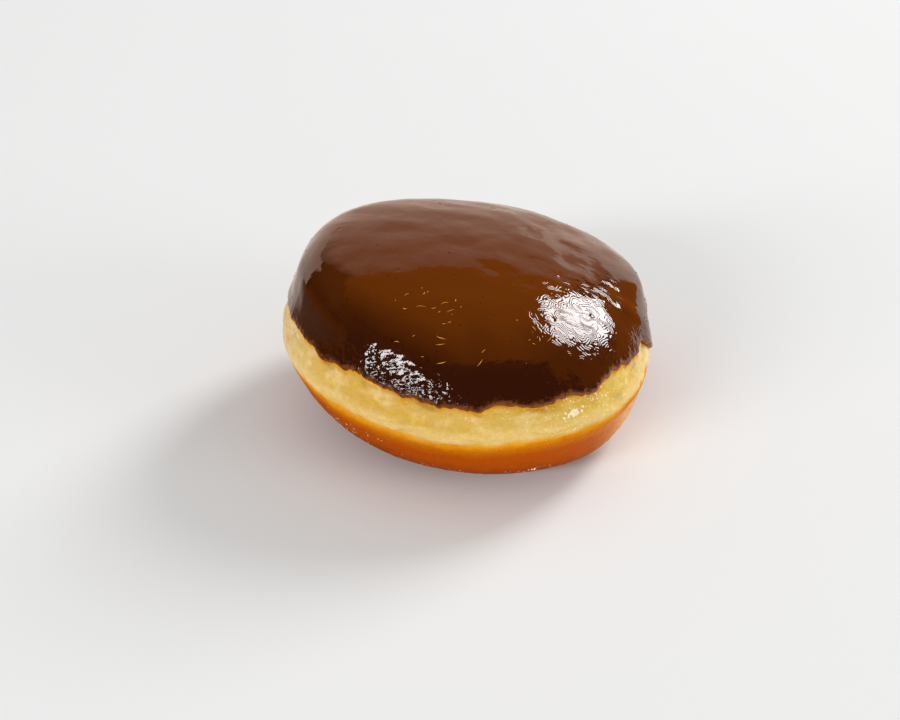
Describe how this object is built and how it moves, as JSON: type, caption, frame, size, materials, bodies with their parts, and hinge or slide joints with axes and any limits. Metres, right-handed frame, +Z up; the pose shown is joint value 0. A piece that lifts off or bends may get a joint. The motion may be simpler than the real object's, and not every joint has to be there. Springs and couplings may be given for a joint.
{
  "type": "filled doughnut",
  "caption": "Round filled doughnut: a fried bun with a pale waist and browned underside, its dome coated in glossy chocolate icing.",
  "frame": {"origin": "under the middle of the whole doughnut's bounding box, on the plane it rests on", "axes": "+Z up from the flat base, -Y towards the front, +X to the right seen from the front"},
  "size_m": [0.095, 0.0978, 0.0482],
  "materials": {
    "fried_dough": "matte, pale at the waist and golden brown below",
    "chocolate_icing": "wet gloss"
  },
  "bodies": {
    "root": {"bun": "fried_dough", "chocolate_icing": "chocolate_icing"}
  },
  "joints": []
}
